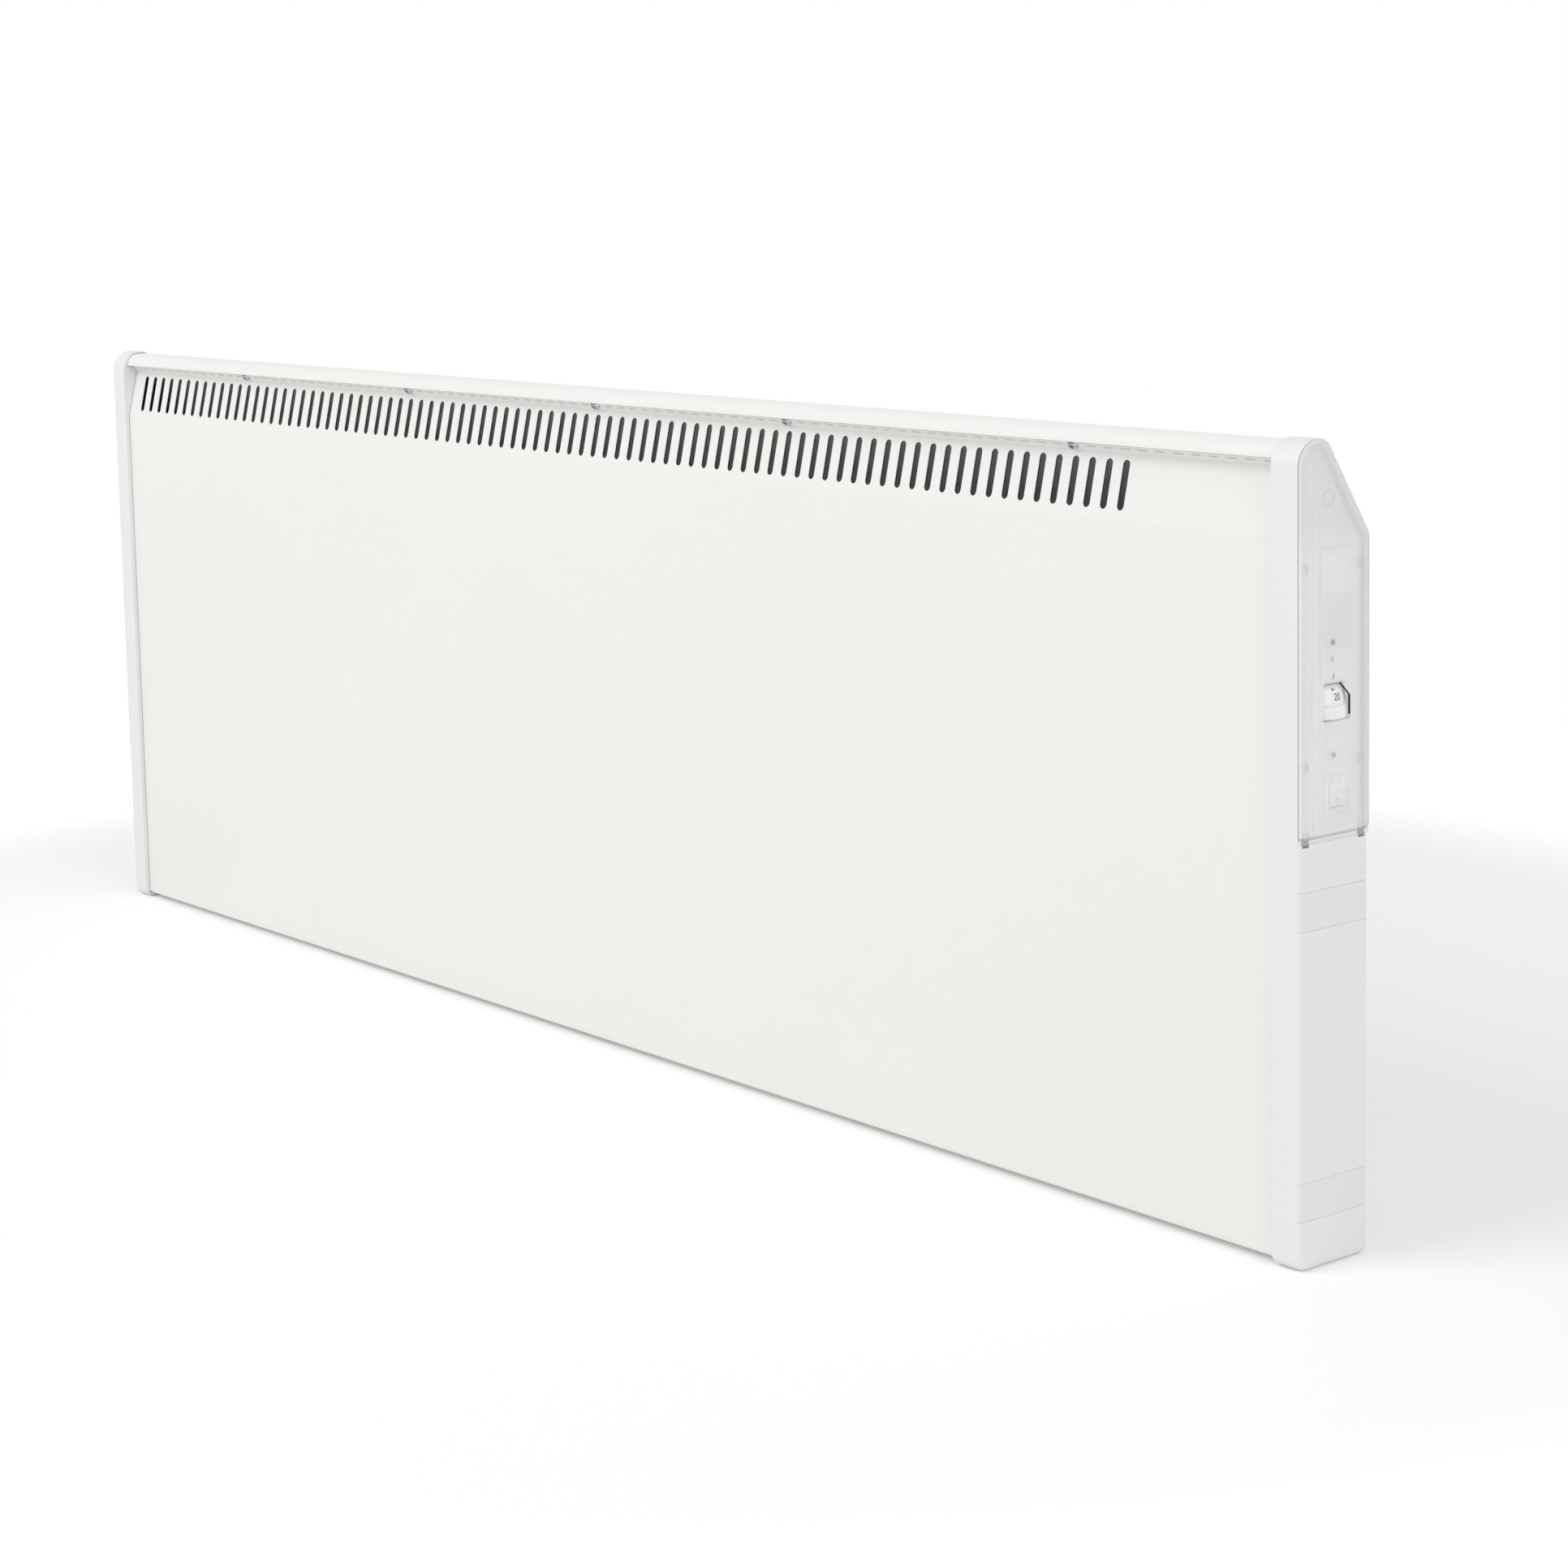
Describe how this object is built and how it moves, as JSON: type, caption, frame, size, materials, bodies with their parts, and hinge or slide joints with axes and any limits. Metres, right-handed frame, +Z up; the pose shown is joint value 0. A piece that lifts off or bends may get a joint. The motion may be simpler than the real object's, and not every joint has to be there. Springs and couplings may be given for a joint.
{
  "type": "wall panel convector heater",
  "caption": "Slim wall panel convector heater: slotted folded steel casing, moulded end caps, hinged frosted side cover over a thumb-wheel thermostat and a rocker switch.",
  "frame": {"origin": "on the plane of the end caps' feet, at the middle of the overall length and depth", "axes": "+X along the length towards the control end, +Y towards the wall, +Z up"},
  "size_m": [1.1226, 0.048, 0.389],
  "materials": {
    "band_plastic": "satin moulded",
    "cap_plastic": "satin moulded",
    "circuit_board": "lacquered",
    "control_plastic": "satin moulded",
    "dark_plastic": "moulded",
    "dial_plastic": "satin gloss",
    "element_aluminium": "as extruded",
    "frosted_cover": "frosted, translucent",
    "painted_steel": "satin powder coat",
    "screw_steel": "zinc plated",
    "sheath_steel": "satin",
    "silicone": "matte",
    "smoked_plastic": "clear tinted",
    "zinc_plate": "bright zinc"
  },
  "bodies": {
    "heater_body": {"air_baffle": "zinc_plate", "back_panel": "painted_steel", "bottom_grille": "zinc_plate", "cable_gland": "dark_plastic", "cap_screws": "screw_steel", "control_board": "circuit_board", "control_housing": "control_plastic", "cover_hinge_pins": "screw_steel", "divider_plate": "zinc_plate", "element_brackets": "zinc_plate", "element_bushes": "silicone", "front_panel": "painted_steel", "heater_rod": "sheath_steel", "heating_element": "element_aluminium", "left_end_cap": "cap_plastic", "left_end_plate": "zinc_plate", "light_pipes": "smoked_plastic", "lower_band_cover": "band_plastic", "module_screws": "screw_steel", "panel_screws": "screw_steel", "potentiometer": "dark_plastic", "rail_rivets": "screw_steel", "rail_stiffener": "zinc_plate", "right_end_cap": "cap_plastic", "right_end_plate": "zinc_plate", "switch_body": "control_plastic", "temperature_sensor": "dark_plastic", "terminal_block": "control_plastic", "thermal_cutout": "dark_plastic", "top_rail": "painted_steel", "upper_band_cover": "band_plastic"},
    "side_cover": {"side_cover": "frosted_cover"},
    "thermostat_wheel": {"thermostat_wheel": "dial_plastic", "dial_spindle": "dark_plastic"},
    "switch_rocker": {"switch_rocker": "dial_plastic"}
  },
  "joints": [
    {"name": "side_cover_hinge", "type": "hinge", "parent": "heater_body", "child": "side_cover", "pos_m": [0.5558, 0, 0.2028], "axis": [0, 1, 0], "range_deg": [0, 90]},
    {"name": "thermostat_turn", "type": "hinge", "parent": "heater_body", "child": "thermostat_wheel", "pos_m": [0.5493, -0.0003, 0.259], "axis": [0, 0, 1], "range_deg": [-108, 162]},
    {"name": "switch_rock", "type": "hinge", "parent": "heater_body", "child": "switch_rocker", "pos_m": [0.5531, 0.004, 0.2245], "axis": [0, -1, 0], "range_deg": [0, 16]}
  ]
}
